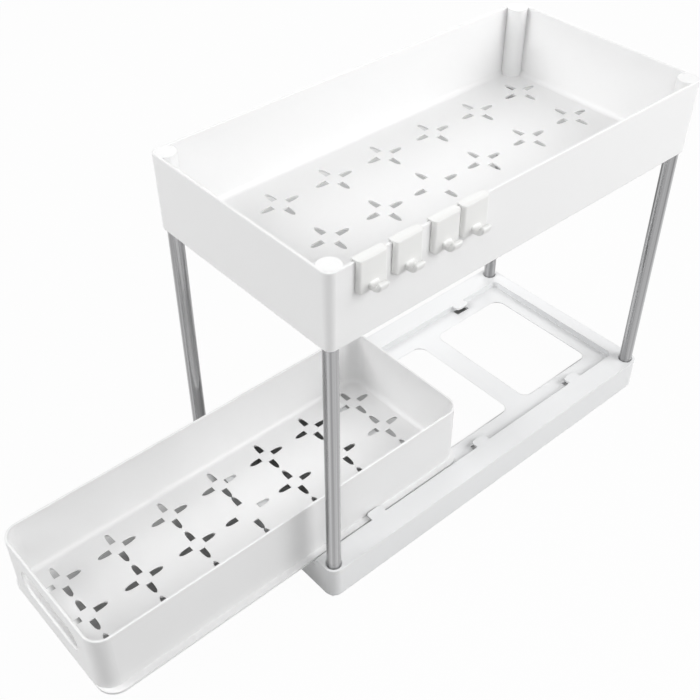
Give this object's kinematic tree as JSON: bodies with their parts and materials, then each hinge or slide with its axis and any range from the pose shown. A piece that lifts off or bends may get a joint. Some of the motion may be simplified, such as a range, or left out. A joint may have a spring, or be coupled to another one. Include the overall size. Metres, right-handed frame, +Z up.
{
  "type": "under sink organizer",
  "caption": "Free-standing under-sink organizer: a deep perforated tray on slim steel posts above a low base with a pull-out drawer, and hooks hung over the tray's rim.",
  "frame": {"origin": "centre of the base's footprint, on the plane that the organizer stands on", "axes": "+Z up, -Y to the front where the drawer is pulled out, +X to the side that carries the hooks"},
  "size_m": [0.2175, 0.597, 0.3371],
  "materials": {
    "tray_plastic": "satin white",
    "base_plastic": "satin white",
    "drawer_plastic": "satin white",
    "hook_plastic": "satin white",
    "post_steel": "polished stainless",
    "foot_rubber": "matt pale grey"
  },
  "bodies": {
    "rack": {"base_frame": "base_plastic", "upper_tray": "tray_plastic", "post_front_left": "post_steel", "post_front_right": "post_steel", "post_rear_left": "post_steel", "post_rear_right": "post_steel", "foot_pad_front_left": "foot_rubber", "foot_pad_front_right": "foot_rubber", "foot_pad_rear_left": "foot_rubber", "foot_pad_rear_right": "foot_rubber"},
    "drawer": {"drawer": "drawer_plastic"},
    "hook_1": {"hook_1": "hook_plastic"},
    "hook_2": {"hook_2": "hook_plastic"},
    "hook_3": {"hook_3": "hook_plastic"},
    "hook_4": {"hook_4": "hook_plastic"}
  },
  "joints": [
    {"name": "drawer_slide", "type": "slide", "parent": "rack", "child": "drawer", "axis": [0, -1, 0], "range_m": [-0.211, 0.06]},
    {"name": "hook_1_lift", "type": "slide", "parent": "rack", "child": "hook_1", "axis": [0, 0, 1], "range_m": [0, 0.03]},
    {"name": "hook_2_lift", "type": "slide", "parent": "rack", "child": "hook_2", "axis": [0, 0, 1], "range_m": [0, 0.03]},
    {"name": "hook_3_lift", "type": "slide", "parent": "rack", "child": "hook_3", "axis": [0, 0, 1], "range_m": [0, 0.03]},
    {"name": "hook_4_lift", "type": "slide", "parent": "rack", "child": "hook_4", "axis": [0, 0, 1], "range_m": [0, 0.03]}
  ]
}
